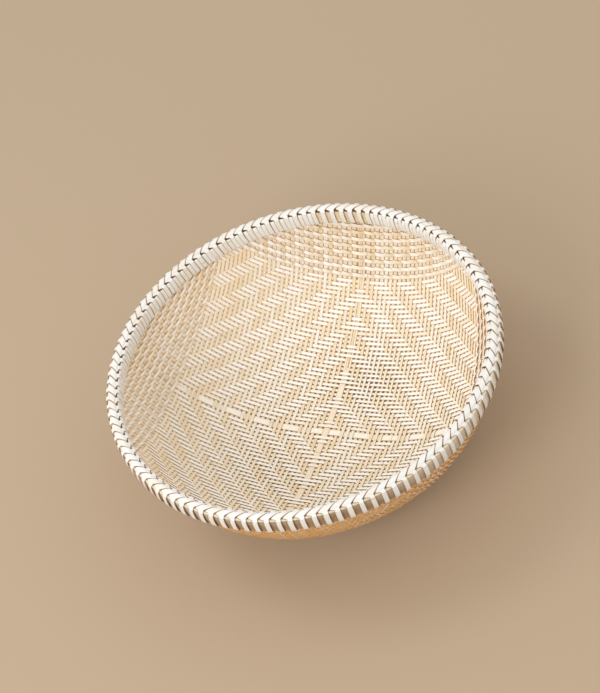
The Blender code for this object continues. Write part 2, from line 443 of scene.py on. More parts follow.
# The inner hoop's near-black edge colour is painted shade at its upper and lower edges, in the notches
# and slots between the stitches
INNER_FINISH = HoopFinish(
    "inner_hoop_bamboo", pale=(0.84, 0.70, 0.48), ripe=(0.60, 0.42, 0.22),
    edge=(0.13, 0.065, 0.025), edge_shading_share=0.95, edge_shading_from=0.72,
)


# The bowl's surface and the net of crossings


@dataclass(frozen=True)
class RimShape:
    """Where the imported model's hoops stand, and how the stitches are spaced round them.

    A sector of the rim is given by its width and by the angle from each of its stitches to the next.
    """

    wall_radius: float = mm(144.9)
    outer_face: float = mm(148.9)
    inner_face: float = mm(140.9)
    hoop_top: float = mm(103.6)
    hoop_bottom: float = mm(91.6)
    stitches: int = 114
    first_deg: float = -3
    sectors_deg: tuple[tuple[float, float], ...] = (
        (59, 3.45), (34, 2.9), (93, 3.05), (67, 3.1), (107, 3.27)
    )

    def angle(self, stitch: np.ndarray | float) -> np.ndarray:
        """Find places round the rim.

        Args:
            stitch: The places, in stitches from the first one.

        Returns:
            Their angles from +X.
        """
        widths = np.array([width for width, _ in self.sectors_deg])
        counts = np.array([width / pitch for width, pitch in self.sectors_deg])
        knots = np.concatenate([[0], np.cumsum(counts)]) * self.stitches / counts.sum()
        degrees = self.first_deg + np.concatenate([[0], np.cumsum(widths)])
        turns = np.floor(np.asarray(stitch) / self.stitches)
        return np.radians(np.interp(stitch - turns * self.stitches, knots, degrees) + 360 * turns)

    def pitch(self, stitch: float) -> float:
        """Return the distance from one stitch to the next, along the middle of the rim."""
        return float(self.angle(stitch + 0.5) - self.angle(stitch - 0.5)) * self.wall_radius


@dataclass
class BowlSurface:
    """The middle surface of the wall, given by its length from the centre along a meridian."""

    flat_radius: float = mm(26)
    inside_radius: float = mm(144.1)
    thickness: float = mm(1.6)
    rise: float = mm(87.7)
    top: float = mm(103.6)
    belly_share: float = 0.67
    shoulder_power: int = 9
    samples: int = 900
    upright_gap: float = mm(0.5)
    run_on: float = mm(60)
    slope_reach: float = mm(1.5)
    shortest: float = 1e-9
    lengths: np.ndarray = field(init=False)
    radii: np.ndarray = field(init=False)
    heights: np.ndarray = field(init=False)

    def __post_init__(self) -> None:
        """Tabulate the meridian, which runs on upwards past the rim for the net's sake."""
        out = np.linspace(0, 1, self.samples)
        reach = self.inside_radius - self.flat_radius
        up = self.belly_share * out**2 + (1 - self.belly_share) * out**self.shoulder_power
        radii = self.flat_radius + reach * out
        heights = self.thickness + self.rise * up
        normals = np.stack([np.gradient(heights), -np.gradient(radii)])
        normals /= np.linalg.norm(normals, axis=0)
        half = self.thickness / 2
        radii, heights = radii + half * normals[0], heights + half * normals[1]
        upright = np.linspace(
            heights[-1] + self.upright_gap, self.top + self.run_on, self.samples // 4
        )
        self.radii = np.concatenate([[0], radii, np.full(len(upright), self.inside_radius + half)])
        self.heights = np.concatenate([[half], heights, upright])
        steps = np.hypot(np.diff(self.radii), np.diff(self.heights))
        self.lengths = np.concatenate([[0], np.cumsum(steps)])

    def length_at(self, height: float) -> float:
        """Return the length along the meridian at which the wall has this height."""
        return float(np.interp(height, self.heights[1:], self.lengths[1:]))

    def place(self, u: np.ndarray, v: np.ndarray) -> np.ndarray:
        """Find points of the surface.

        Args:
            u: Their lengths along X, as on the surface laid flat.
            v: Their lengths along Y.

        Returns:
            The points.
        """
        length = np.hypot(u, v)
        spread = np.interp(length, self.lengths, self.radii) / np.maximum(length, self.shortest)
        height = np.interp(length, self.lengths, self.heights)
        return np.stack([u * spread, v * spread, height], -1)

    def inward(self, u: np.ndarray, v: np.ndarray) -> np.ndarray:
        """Find the surface's normals.

        Args:
            u: Lengths along X, as on the surface laid flat.
            v: Lengths along Y.

        Returns:
            The normals there, which point into the bowl.
        """
        length = np.maximum(np.hypot(u, v), self.shortest)
        ends = length + self.slope_reach, length - self.slope_reach
        rise, run = (
            np.interp(ends[0], self.lengths, values) - np.interp(ends[1], self.lengths, values)
            for values in (self.heights, self.radii)
        )
        size = np.hypot(rise, run)
        return np.stack([-rise / size * u / length, -rise / size * v / length, run / size], -1)


@dataclass
class StripNet:
    """The net in which the strips cross: every mesh keeps the strips' true spacing on the bowl."""

    surface: BowlSurface
    long_pitch: float = mm(3.994)
    cross_pitch: float = mm(3.796)
    centre_extra: float = mm(1.8)
    centre: tuple[float, float] = (mm(-7.31), mm(2.88))
    centre_fade: int = 3
    reach: int = 54
    tries: int = 9
    nudge: float = mm(0.01)
    longest_move: float = mm(2)
    smallest: float = 1e-12
    grid: np.ndarray = field(init=False)

    def __post_init__(self) -> None:
        """Solve one quarter outwards from the two middle strips, and mirror it."""
        count = self.reach + 1
        steps = np.arange(count)
        first = np.where(steps > 0, self.centre_extra + self.long_pitch * steps, 0)
        second = np.where(steps > 0, self.centre_extra + self.cross_pitch * steps, 0)
        quarter = np.zeros((count, count, 2))
        quarter[:, 0, 0] = first
        quarter[0, :, 1] = second
        for total in range(2, 2 * count - 1):
            i = np.arange(max(1, total - count + 1), min(count, total))
            j = total - i
            quarter[i, j] = self.solve(
                quarter[i, j - 1], quarter[i - 1, j], quarter[i - 1, j - 1],
                second[j] - second[j - 1], first[i] - first[i - 1],
            )
        numbers = np.arange(-self.reach, count)
        signs = np.meshgrid(np.sign(numbers), np.sign(numbers), indexing="ij")
        whole = quarter[np.abs(numbers)[:, None], np.abs(numbers)[None, :]] * np.stack(signs, -1)
        whole[self.reach, :, 0] = 0
        whole[:, self.reach, 1] = 0
        rim = self.surface.length_at(self.surface.top)
        fade = np.clip(1 - (np.hypot(whole[..., 0], whole[..., 1]) / rim) ** self.centre_fade, 0, 1)
        self.grid = whole + fade[..., None] * np.array(self.centre)

    def solve(
        self, low: np.ndarray, left: np.ndarray, corner: np.ndarray, up: np.ndarray, across: np.ndarray
    ) -> np.ndarray:
        """Find the crossings that lie the strips' spacing away from two known ones, by Newton's method.

        Args:
            low: The crossings before them on the same long strips.
            left: The crossings before them on the same cross strips.
            corner: The crossings before both.
            up: Their distances from low.
            across: Their distances from left.

        Returns:
            The crossings, as lengths along X and Y.
        """
        place, nudge = self.surface.place, self.nudge
        low_at, left_at = place(*low.T), place(*left.T)
        guess = low + left - corner
        for _ in range(self.tries):
            at = place(*guess.T)
            by_u = (place(guess[:, 0] + nudge, guess[:, 1]) - at) / nudge
            by_v = (place(guess[:, 0], guess[:, 1] + nudge) - at) / nudge
            from_low, from_left = at - low_at, at - left_at
            miss_low = (from_low**2).sum(1) - up**2
            miss_left = (from_left**2).sum(1) - across**2
            low_u, low_v = 2 * (from_low * by_u).sum(1), 2 * (from_low * by_v).sum(1)
            left_u, left_v = 2 * (from_left * by_u).sum(1), 2 * (from_left * by_v).sum(1)
            spread = low_u * left_v - low_v * left_u
            spread = np.where(np.abs(spread) < self.smallest, self.smallest, spread)
            move_u = (low_v * miss_left - left_v * miss_low) / spread
            move_v = (left_u * miss_low - low_u * miss_left) / spread
            move = np.stack([move_u, move_v], 1)
            size = np.maximum(np.linalg.norm(move, axis=1, keepdims=True), self.smallest)
            guess = guess + move * np.minimum(1, self.longest_move / size)
        return guess

    def lengths(self, i: np.ndarray, j: np.ndarray) -> np.ndarray:
        """Return the lengths u and v at places in the net, between crossings as well as on them.

        Args:
            i: Numbers of long strips, counted from the middle one.
            j: Numbers of cross strips, counted from the middle one.

        Returns:
            An array of (u, v).
        """
        a, b = np.broadcast_arrays(np.asarray(i, float), np.asarray(j, float))
        a, b = a + self.reach, b + self.reach
        top = 2 * self.reach - 1
        a0, b0 = np.clip(np.floor(a), 0, top).astype(int), np.clip(np.floor(b), 0, top).astype(int)
        fa, fb = (a - a0)[..., None], (b - b0)[..., None]
        grid = self.grid
        return (
            grid[a0, b0] * (1 - fa) * (1 - fb) + grid[a0 + 1, b0] * fa * (1 - fb)
            + grid[a0, b0 + 1] * (1 - fa) * fb + grid[a0 + 1, b0 + 1] * fa * fb
        )

    def place(self, i: np.ndarray, j: np.ndarray) -> tuple[np.ndarray, np.ndarray, np.ndarray]:
        """Find places in the net.

        Args:
            i: Numbers of long strips, counted from the middle one.
            j: Numbers of cross strips, counted from the middle one.

        Returns:
            The points, the inward normals and the lengths from the centre along the meridian.
        """
        flat = self.lengths(i, j)
        u, v = flat[..., 0], flat[..., 1]
        return self.surface.place(u, v), self.surface.inward(u, v), np.hypot(u, v)


# Ribbons


class RibbonBatch:
    """Many split strips gathered into one mesh, each with its own coordinates, tone and sides."""

    PLAIN = np.array([(-1, 0.5), (1, 0.5), (1, -0.5), (-1, -0.5)])
    BEVELLED = np.array([(-1, -0.1), (-0.9, 0.5), (0.9, 0.5), (1, -0.1), (0.9, -0.5), (-0.9, -0.5)])
    SKIN_DEPTH = -0.5
    SHARP_DEG = 38

    def __init__(self, section: np.ndarray = PLAIN) -> None:
        """Start with no strips.

        Args:
            section: Their section's corners, as (across, depth), clockwise with the pith side up.
        """
        self.section = section
        self.points: list[np.ndarray] = []
        self.faces: list[list[int]] = []
        self.strips: list[np.ndarray] = []
        self.tones: list[np.ndarray] = []
        self.skins: list[np.ndarray] = []
        self.count = 0

    def add(
        self, line: np.ndarray, normals: np.ndarray, half_width: np.ndarray | float, thickness: float,
        tone: np.ndarray | float, seed: float, sides: np.ndarray | None = None,
    ) -> None:
        """Add one strip.

        Args:
            line: The points of its middle line.
            normals: The direction its pith side faces at each.
            half_width: Half its width, the same throughout or at each point.
            thickness: Its thickness.
            tone: 0 for pale to 1 for ripe, the same throughout or at each point.
            seed: A number of its own, which shifts its grain.
            sides: The direction of its width at each point, where that isn't square to its line.
        """
        rows, corners = len(line), len(self.section)
        tangent = units(np.gradient(line, axis=0))
        side = units(np.cross(tangent, normals) if sides is None else sides)
        face = units(np.cross(side, tangent))
        width = np.broadcast_to(np.asarray(half_width, float), (rows,))[:, None, None]
        across, depth = self.section[:, 0], self.section[:, 1]
        ring = line[:, None] + side[:, None] * width * across[None, :, None]
        ring = ring + face[:, None] * (thickness * depth)[None, :, None]
        run = np.concatenate([[0], np.cumsum(np.linalg.norm(np.diff(line, axis=0), axis=1))])
        strip = np.empty((rows, corners, 3))
        strip[..., 0], strip[..., 1], strip[..., 2] = run[:, None], across[None, :], seed
        index = self.count + np.arange(rows * corners).reshape(rows, corners)
        near, far = index[:-1], index[1:]
        quads = np.stack([near, np.roll(near, -1, 1), np.roll(far, -1, 1), far], -1).reshape(-1, 4)
        self.faces += quads.tolist() + [index[0][::-1].tolist(), index[-1].tolist()]
        self.points.append(ring.reshape(-1, 3))
        self.strips.append(strip.reshape(-1, 3))
        self.tones.append(np.repeat(np.broadcast_to(tone, (rows,)), corners))
        self.skins.append(np.tile((depth <= self.SKIN_DEPTH).astype(float), rows))
        self.count += rows * corners

    def piece(self, name: str, material: bpy.types.Material) -> bpy.types.Object:
        """Make the object that holds all the strips.

        Args:
            name: The object's name.
            material: Its finish.

        Returns:
            The object, riding on the basket's body.
        """
        mesh = bpy.data.meshes.new(name)
        mesh.from_pydata(np.concatenate(self.points).tolist(), [], self.faces)
        mesh.shade_smooth()
        mesh.set_sharp_from_angle(angle=math.radians(self.SHARP_DEG))
        for label, kind, field_name, values in (
            ("strip", "FLOAT_VECTOR", "vector", self.strips),
            ("tone", "FLOAT", "value", self.tones),
            ("skin_side", "FLOAT", "value", self.skins),
        ):
            layer = mesh.attributes.new(label, kind, "POINT")
            layer.data.foreach_set(field_name, np.concatenate(values).astype(np.float32).ravel())
        mesh.materials.append(material)
        piece = shown(name, mesh)
        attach(piece, BODY)
        triangles = sum(polygon.loop_total - 2 for polygon in mesh.polygons)
        LOG.info("%s: %d strips in %d triangles", name, len(self.points), triangles)
        return piece


# The twill mat


class Family(Enum):
    """The two families of strips, by the way they run."""

    LONG = "long"
    CROSS = "cross"

    @property
    def other(self) -> Family:
        """Return the family that this one crosses."""
        return Family.CROSS if self is Family.LONG else Family.LONG

    def crossing(self, own: np.ndarray, crossed: np.ndarray) -> tuple[np.ndarray, np.ndarray]:
        """Return places in the net as numbers of long strips, then of cross strips.

        Args:
            own: The places counted in strips of this family.
            crossed: The places counted in strips of the other one.

        Returns:
            Both, in the net's order.
        """
        return (own, crossed) if self is Family.LONG else (crossed, own)


class Side(Enum):
    """A side of the mat: the family of stakes in its panel, the sign of its rows, and its strips.

    The last value is the number of the mat's outermost strip on that side, counted from the middle.
    """

    RIGHT = (Family.CROSS, 1, 30)
    BACK = (Family.LONG, 1, 34)
    LEFT = (Family.CROSS, -1, 31)
    FRONT = (Family.LONG, -1, 34)


def last_strips(family: Family) -> tuple[int, int]:
    """Find where a family's strips leave the mat.

    Args:
        family: The family.

    Returns:
        The numbers of the first and the last strip that it crosses.
    """
    sides = (side.value for side in Side)
    ends = {sign: sign * count for stakes, sign, count in sides if stakes is family}
    return ends[-1], ends[1]


@dataclass(frozen=True)
class LoosePlace:
    """A place in the mat whose strips are thinner, which leaves larger holes between them.

    It has the numbers of the strips that cross in its middle, its reach in strips, and the share of
    their width that they lack there.
    """

    long_number: float
    cross_number: float
    reach: float
    lack: float

    def lacks(self, i: np.ndarray, j: np.ndarray) -> np.ndarray:
        """Return the share of their width that strips lack at places in the net."""
        off = (i - self.long_number) ** 2 + (j - self.cross_number) ** 2
        return self.lack * np.exp(-off / self.reach**2)


@dataclass
class TwillMat:
    """The mat of flat strips, over three and under three, turned about at the middle of each side."""

    net: StripNet
    thickness: float = mm(0.46)
    lift: float = mm(0.25)
    flat_share: float = 0.3
    end_height: float = mm(100)
    twill: int = 3
    widths: dict[Family, float] = for_each(Family, mm(2.65), mm(2.6))
    tones: dict[Family, tuple[float, float]] = for_each(Family, (0.54, 0.2), (0.05, 0.11))
    wide: dict[Family, float] = for_each(Family, mm(5.3), mm(5.4))
    wide_tones: dict[Family, float] = for_each(Family, 0.5, 0.15)
    wide_seed: float = 7.7
    split_from: dict[Family, int] = for_each(Family, 15, -30)
    split_width: float = mm(1.75)
    split_shares: tuple[float, ...] = (-0.33, 0, 0.33)
    room_share: float = 0.9
    ripening: dict[Family, float] = for_each(Family, 0.1, 0.45)
    stake_tone: dict[Family, float] = for_each(Family, -0.1, 0.4)
    stake_extra: float = mm(0.75)
    wander: float = mm(0.12)
    wander_pace: float = 0.23
    wander_shift: float = 9
    loose_places: tuple[LoosePlace, ...] = (LoosePlace(6, 13, 8, 0.24), LoosePlace(-10, -15, 10, 0.13))

    def cross_on_top(self, i: np.ndarray, j: np.ndarray) -> np.ndarray:
        """Tell where the cross strip lies over the long one, seen from inside the bowl."""
        ring = np.abs(i) + np.abs(j)
        return (ring > 0) & (ring % (2 * self.twill) < self.twill)

    def lifts(self, family: Family, number: int, stations: np.ndarray) -> np.ndarray:
        """Find how far a strip stands off the middle surface.

        Args:
            family: Its family.
            number: Its place in the family, counted from the middle.
            stations: Places along it, in strips of the other family.

        Returns:
            The distances inwards, which are 0 past the mat's edge.
        """
        crossings = np.round(stations)
        i, j = family.crossing(np.full(len(crossings), number), crossings)
        on_top = self.cross_on_top(i, j) == (family is Family.CROSS)
        first, last = last_strips(family)
        lift = np.where(on_top, self.lift, -self.lift)
        return np.where((crossings < first) | (crossings > last), 0, lift)

    def strip(
        self, batch: RibbonBatch, family: Family, number: int, low: float, high: float,
        width: float, shift: float, tone: float, seed: float,
    ) -> None:
        """Add one strip, or one part of a split one, cut off where it reaches the rim.

        Args:
            batch: Where it goes.
            family: Its family.
            number: Its place in the family, counted from the middle.
            low: The number of the crossing where it starts.
            high: The number of the crossing where it ends.
            width: Its full width.
            shift: How far it lies off its place in the net, in strips.
            tone: 0 for pale to 1 for ripe.
            seed: A number of its own.
        """
        crossings = np.arange(low, high + 1)[:, None]
        stations = (crossings + np.array([-self.flat_share, self.flat_share])).ravel()
        sway = np.sin(stations * self.wander_pace + seed * self.wander_shift)
        drift = self.wander / self.net.long_pitch * sway
        first, last = last_strips(family)
        beyond = np.clip(np.maximum(stations - last, first - stations), 0, 1)
        places = number + shift + drift

        def at(offset: float) -> tuple[np.ndarray, np.ndarray, np.ndarray]:
            """Return points, normals and lengths so many strips beside the strip's own line."""
            return self.net.place(*family.crossing(places + offset, stations))

        points, normals, lengths = at(0)
        inside = lengths < self.net.surface.length_at(self.end_height)
        middle = len(stations) // 2 if low < 0 < high else (0 if low >= 0 else len(stations) - 1)
        if not inside[middle]:
            return
        start, stop = middle, middle
        while start > 0 and inside[start - 1]:
            start -= 1
        while stop < len(stations) - 1 and inside[stop + 1]:
            stop += 1
        if stop - start < 2:
            return
        keep = slice(start, stop + 1)
        aside = at(0.5)[0] - at(-0.5)[0]
        room = np.linalg.norm(np.cross(aside, units(np.gradient(points, axis=0))), axis=1)
        rise = np.clip(points[:, 2] / self.net.surface.top, 0, 1)
        spot = family.crossing(np.full(len(stations), number), stations)
        lack = np.max([place.lacks(*spot) for place in self.loose_places], 0)
        wanted = width * (1 - lack) + beyond * self.stake_extra
        full = np.minimum(room * self.room_share, wanted) if number else np.full(len(room), width)
        tones = tone + self.ripening[family] * rise**2 + self.stake_tone[family] * beyond
        line = points + normals * self.lifts(family, number, stations)[:, None]
        batch.add(line[keep], normals[keep], full[keep] / 2, self.thickness, tones[keep], seed)

    def build(self, family: Family, finish: BambooFinish, dice: random.Random) -> bpy.types.Object:
        """Make one family of strips, its wide middle strip and the parts that this splits into.

        Args:
            family: The family.
            finish: Its finish.
            dice: Draws the tones and seeds.

        Returns:
            The piece.
        """
        batch = RibbonBatch()
        reach = self.net.reach
        mean, spread = self.tones[family]
        first, last = last_strips(family.other)
        for number in range(first, last + 1):
            tone, seed = dice.gauss(mean, spread), grain_seed(dice)
            if number:
                self.strip(batch, family, number, -reach, reach, self.widths[family], 0, tone, seed)
        split = self.split_from[family]
        sign = 1 if split > 0 else -1
        whole_ends, split_ends = sorted((-reach * sign, split)), sorted((split, reach * sign))
        wide, tone = self.wide[family], self.wide_tones[family]
        self.strip(batch, family, 0, *whole_ends, wide, 0, tone, self.wide_seed)
        for share in self.split_shares:
            tone, seed = dice.gauss(mean, spread), grain_seed(dice)
            self.strip(batch, family, 0, *split_ends, self.split_width, share, tone, seed)
        piece = batch.piece(f"{family.value}_mat_strips", finish.material())
        return piece


# The twined panels


@dataclass
class TwinedPanel:
    """Rows of two strands that are twisted about each other round the ends of the mat's strips.

    A strand's stretch in front of two stakes starts nearer the rim and ends nearer the middle of
    the basket, going clockwise as seen from above.
    """

    side: Side
    net: StripNet
    row_pitch: float = mm(6.3)
    rows: int = 16
    first_row: float = mm(5.5)
    strand_widths: dict[Side, float] = for_each(Side, mm(2.5), mm(3.0), mm(2.3), mm(2.5))
    strand_thickness: float = mm(0.7)
    twist_depth: float = mm(0.95)
    forward: float = mm(0.25)
    twist_heights: dict[Side, float] = for_each(Side, mm(0.5), mm(0.35), mm(0.75), mm(0.5))
    twist_start: float = 0.25
    # Painted light and shade along each strand, by side of the basket
    twist_shading: dict[Side, float] = for_each(Side, 0.35, 0.45, 0.3, 0.45)
    steps_per_stake: int = 3
    end_height: float = mm(96)
    fewest_points: int = 9
    tones: tuple[float, float] = (0.0, 0.15)

    @property
    def pitch(self) -> float:
        """Return the distance between the mat's strips that run the way the rows do."""
        return self.net.long_pitch if self.side.value[0] is Family.CROSS else self.net.cross_pitch

    def strand(self, batch: RibbonBatch, row: float, phase: float, tone: float, seed: float) -> None:
        """Add one strand of a row, as far as it stays below the rim.

        Args:
            batch: Where it goes.
            row: The row's place, in strips from the middle of the mat.
            phase: Where in its twist the strand starts, in half turns.
            tone: 0 for pale to 1 for ripe.
            seed: A number of its own.
        """
        stakes, sign, _ = self.side.value
        first, last = last_strips(stakes.other)
        steps = self.steps_per_stake
        stations = np.arange(first * steps, last * steps + 1) / steps
        turn = math.pi * (stations / 2 + self.twist_start + phase)
        clockwise = -1 if self.side in (Side.BACK, Side.LEFT) else 1
        across = row + clockwise * self.twist_heights[self.side] / self.pitch * np.sin(turn)
        points, normals, lengths = self.net.place(*stakes.other.crossing(sign * across, stations))
        inside = lengths < self.net.surface.length_at(self.end_height)
        runs = np.flatnonzero(inside)
        if len(runs) < self.fewest_points:
            return
        keep = slice(runs[0], runs[-1] + 1)
        line = points + normals * (self.forward + self.twist_depth * np.cos(turn))[:, None]
        # Painted light and shade along the twist: paler where the strand comes out from behind a stake,
        # riper where it sinks back
        tones = tone + self.twist_shading[self.side] * (0.5 - 0.5 * clockwise * np.sin(turn))
        half_width = self.strand_widths[self.side] / 2
        batch.add(line[keep], normals[keep], half_width, self.strand_thickness, tones[keep], seed)

    def build(self, finish: BambooFinish, dice: random.Random) -> bpy.types.Object:
        """Make the panel.

        Args:
            finish: Its finish.
            dice: Draws the tones and seeds.

        Returns:
            The piece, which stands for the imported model's solid panel.
        """
        batch = RibbonBatch()
        edge = self.side.value[-1]
        for number in range(self.rows):
            row = edge + (self.first_row + number * self.row_pitch) / self.pitch
            for phase in (0, 1):
                self.strand(batch, row, phase, dice.gauss(*self.tones), grain_seed(dice))
        label = self.side.name.lower()
        piece = batch.piece(f"{label}_twined_rows", finish.material())
        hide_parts(f"twined_panel_{label}")
        return piece


# The rim


def smooth_line(knots: np.ndarray, steps: int) -> np.ndarray:
    """Return points on smooth curves through knots, which are Catmull-Rom splines.

    Args:
        knots: The knots, one to a row.
        steps: How many points there are from one knot to the next.

    Returns:
        The points, which end at the last knot.
    """
    ends = np.concatenate([2 * knots[:1] - knots[1:2], knots, 2 * knots[-1:] - knots[-2:-1]])
    points = []
    for a, b, c, d in zip(ends, ends[1:], ends[2:], ends[3:]):
        for share in np.arange(steps) / steps:
            square = (2 * a - 5 * b + 4 * c - d) * share**2
            cube = (3 * b - a - 3 * c + d) * share**3
            points.append(0.5 * (2 * b + (c - a) * share + square + cube))
    return np.array([*points, knots[-1]])


@dataclass(frozen=True)
class StitchEnd:
    """Where a stitch's band ends, and the strip that runs on from there down one face of the rim.

    Places and widths round the rim are counted in stitches. The way is 1 on the outer face, and -1
    on the inner one.
    """

    shape: RimShape
    way: int
    place: float
    band_share: float
    width: float
    bow: float
    lean: float

    def spot(self, off: float, height: float, low_share: float = 0) -> Station:
        """Return a station of the strip.

        Args:
            off: How far it lies off the hoop's face.
            height: Its height.
            low_share: How much of the strip's lean it has.

        Returns:
            The station.
        """
        face = self.shape.outer_face if self.way > 0 else self.shape.inner_face
        aside = (self.band_share - self.width) / 2 + self.lean * low_share
        return face + self.way * off, height, self.place + self.way * aside, self.width

    def upright(self) -> list[Station]:
        """Return the stations up the face, from under the hoop to its upper edge."""
        top, bottom, bow = self.shape.hoop_top, self.shape.hoop_bottom, self.bow
        # Through the wall, round the hoop's lower edge, up its bowed face and in over its upper edge
        return [
            self.spot(mm(-3.2), bottom - mm(0.7), 1), self.spot(mm(-1.3), bottom - mm(0.85), 1),
            self.spot(mm(0.2), bottom - mm(0.2), 1), self.spot(bow * 0.8, bottom + mm(2.6), 0.9),
            self.spot(bow, bottom + mm(6), 0.5), self.spot(bow * 0.9, top - mm(2.6), 0.15),
            self.spot(bow * 0.55, top - mm(0.2)),
        ]

    def shoulder(self) -> list[Station]:
        """Return the stations from the hoop's upper edge to where the strip widens into the band."""
        top = self.shape.hoop_top
        return [self.spot(self.bow * 0.55, top - mm(0.2)), self.spot(mm(-0.4), top + mm(0.6))]


@dataclass
class RimStitching:
    """The stitches that bind the hoops on, and the slanted bands over the cut ends of the wall.

    A band is nearly as wide as its stitch takes round the rim. At each end one of its edges runs
    straight on down the face of a hoop, and the other slants over until a strip's width is left.
    The inner side of a stitch is its outer side turned half about the middle of its band.
    """

    shape: RimShape = field(default_factory=RimShape)
    thickness: float = mm(0.5)
    band_share: float = 0.96
    band_end_share: float = 0.87
    band_travel: float = 0.78
    band_reach: float = mm(2.45)
    band_edge_height: float = mm(104.6)
    band_shoulder_share: float = 0.65
    band_shoulder_drop: float = mm(0.3)
    band_travel_play: float = 0.03
    crown: float = mm(105.75)
    crown_play_mm: float = 0.1
    strip_width: float = mm(3.9)
    strip_play: tuple[float, float] = (0.93, 1.07)
    second_gaps: tuple[float, float] = (mm(0.06), mm(0.28))
    second_drop: float = mm(0.55)
    single_from_deg: float = 86
    single_to_deg: float = 104
    outer_bow: tuple[float, float] = (mm(1.1), mm(1.6))
    inner_bow: tuple[float, float] = (mm(0.8), mm(1.2))
    slack: float = mm(1.2)
    slack_deg: tuple[float, float] = (15, 50)
    lean: float = 0.03
    far_lean: float = 0.25
    far_lean_deg: tuple[float, float] = (138, 24)
    smooth_steps: int = 3
    tones: tuple[float, ...] = (0.0, 0.0, 0.05, 0.1, 0.3)

    @staticmethod
    def swell(degrees: float, middle: float, spread: float) -> float:
        """Return how much of an effect there is at an angle: 1 at its middle, less further off."""
        off = (degrees - middle + 180) % 360 - 180
        return math.exp(-((off / spread) ** 2))

    def end(self, place: float, way: int, dice: random.Random) -> StitchEnd:
        """Return one end of a band.

        Args:
            place: Its place round the rim, in stitches.
            way: 1 for the outer end, -1 for the inner one.
            dice: Draws its small differences.

        Returns:
            The end.
        """
        bow = dice.uniform(*(self.outer_bow if way > 0 else self.inner_bow))
        lean = self.lean
        width = self.strip_width * dice.uniform(*self.strip_play) / self.shape.pitch(place)
        if way < 0:
            degrees = math.degrees(float(self.shape.angle(place)))
            lean += self.far_lean * self.swell(degrees, *self.far_lean_deg)
            bow += self.slack * self.swell(degrees, *self.slack_deg)
        return StitchEnd(self.shape, way, place, self.band_end_share, width, bow, lean)

    def lay(
        self, batch: RibbonBatch, stations: list[Station], way: int, tone: float, seed: float
    ) -> None:
        """Add a strip along smooth lines through stations, with its width along the rim.

        Args:
            batch: Where it goes.
            stations: Its stations.
            way: 1 where they run so that the core of the rim lies to the inside of them, else -1.
            tone: 0 for pale to 1 for ripe.
            seed: A number of its own.
        """
        knots = np.array(stations)
        path = smooth_line(knots, self.smooth_steps)
        angle = self.shape.angle(path[:, 2])
        spoke = np.stack([np.cos(angle), np.sin(angle), 0 * angle], 1)
        round_rim = np.stack([-np.sin(angle), np.cos(angle), 0 * angle], 1)
        along = units(np.gradient(path[:, :2], axis=0))
        up = np.array([0, 0, 1])
        points = spoke * path[:, :1] + up * path[:, 1:2]
        normals = spoke * along[:, 1:2] - up * along[:, :1]
        half_width = path[:, 3] * self.shape.pitch(float(knots[:, 2].mean())) / 2
        batch.add(points, normals * way, half_width, self.thickness, tone, seed, round_rim * way)

    def band(self, outer: StitchEnd, inner: StitchEnd, dice: random.Random) -> list[Station]:
        """Lay out a band, from the outer hoop's upper edge to the inner hoop's.

        Args:
            outer: Its outer end.
            inner: Its inner end.
            dice: Draws its small differences.

        Returns:
            Its stations.
        """
        crown = self.crown + mm(dice.uniform(-self.crown_play_mm, self.crown_play_mm))
        reach, edge = self.band_reach, self.band_edge_height
        shoulder, slope = reach * self.band_shoulder_share, crown - self.band_shoulder_drop
        across = [
            (reach, edge, self.band_end_share), (shoulder, slope, self.band_share),
            (0, crown, self.band_share), (-shoulder, slope, self.band_share),
            (-reach, edge, self.band_end_share),
        ]
        stations = outer.shoulder()
        for off, height, width in across:
            share = (1 - off / reach) / 2
            place = outer.place + (inner.place - outer.place) * share
            stations.append((self.shape.wall_radius + off, height, place, width))
        return stations + inner.shoulder()[::-1]

    def second(self, end: StitchEnd) -> list[Station]:
        """Lay out the strip beside an inner one, whose upper end lies under the band.

        Args:
            end: The inner end of the band.

        Returns:
            The strip's stations.
        """
        near, far = (gap / self.shape.pitch(end.place) for gap in self.second_gaps)
        width = 1 - end.width - near - far
        aside = (end.width + width) / 2 + near
        top = self.shape.hoop_top - self.second_drop
        stations = [*end.upright()[:-1], end.spot(mm(0.1), top), end.spot(mm(-0.8), top + mm(0.2))]
        return [(radius, height, place + aside, width) for radius, height, place, _ in stations]

    def build(self, finish: BambooFinish, dice: random.Random) -> None:
        """Make the stitches of both faces, and the bands.

        Args:
            finish: Their finish.
            dice: Draws the small differences.
        """
        outside, inside, bands = (RibbonBatch(RibbonBatch.BEVELLED) for _ in range(3))
        for number in range(self.shape.stitches):
            tone, seed = dice.choice(self.tones), grain_seed(dice)
            outer = self.end(number, 1, dice)
            play = dice.uniform(-self.band_travel_play, self.band_travel_play)
            inner = self.end(number + self.band_travel + play, -1, dice)
            self.lay(outside, outer.upright(), 1, tone, seed)
            self.lay(inside, inner.upright(), -1, tone, seed)
            self.lay(bands, self.band(outer, inner, dice), 1, tone, seed)
            degrees = math.degrees(float(self.shape.angle(inner.place)))
            if not self.single_from_deg < degrees < self.single_to_deg:
                self.lay(inside, self.second(inner), -1, dice.choice(self.tones), grain_seed(dice))
        material = finish.material()
        for name, batch, slot, node in (
            ("outer_rim_stitches", outside, "binding_strip", "rim_binding"),
            ("inner_rim_stitches", inside, "binding_strip", "rim_binding"),
            ("rim_edge_bands", bands, "edge_wrap_strip", "edge_wrap"),
        ):
            piece = batch.piece(name, material)
            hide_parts(node)


@dataclass
class Hoops:
    """The two bent strips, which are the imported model's own."""

    finishes: dict[str, HoopFinish]

    def dress(self) -> None:
        """Give each hoop its finish."""
        for name, finish in self.finishes.items():
            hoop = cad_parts[name]
            hoop.data.materials.clear()
            hoop.data.materials.append(finish.material())
            LOG.info("%s: dressed", name)


# Floor, light and camera


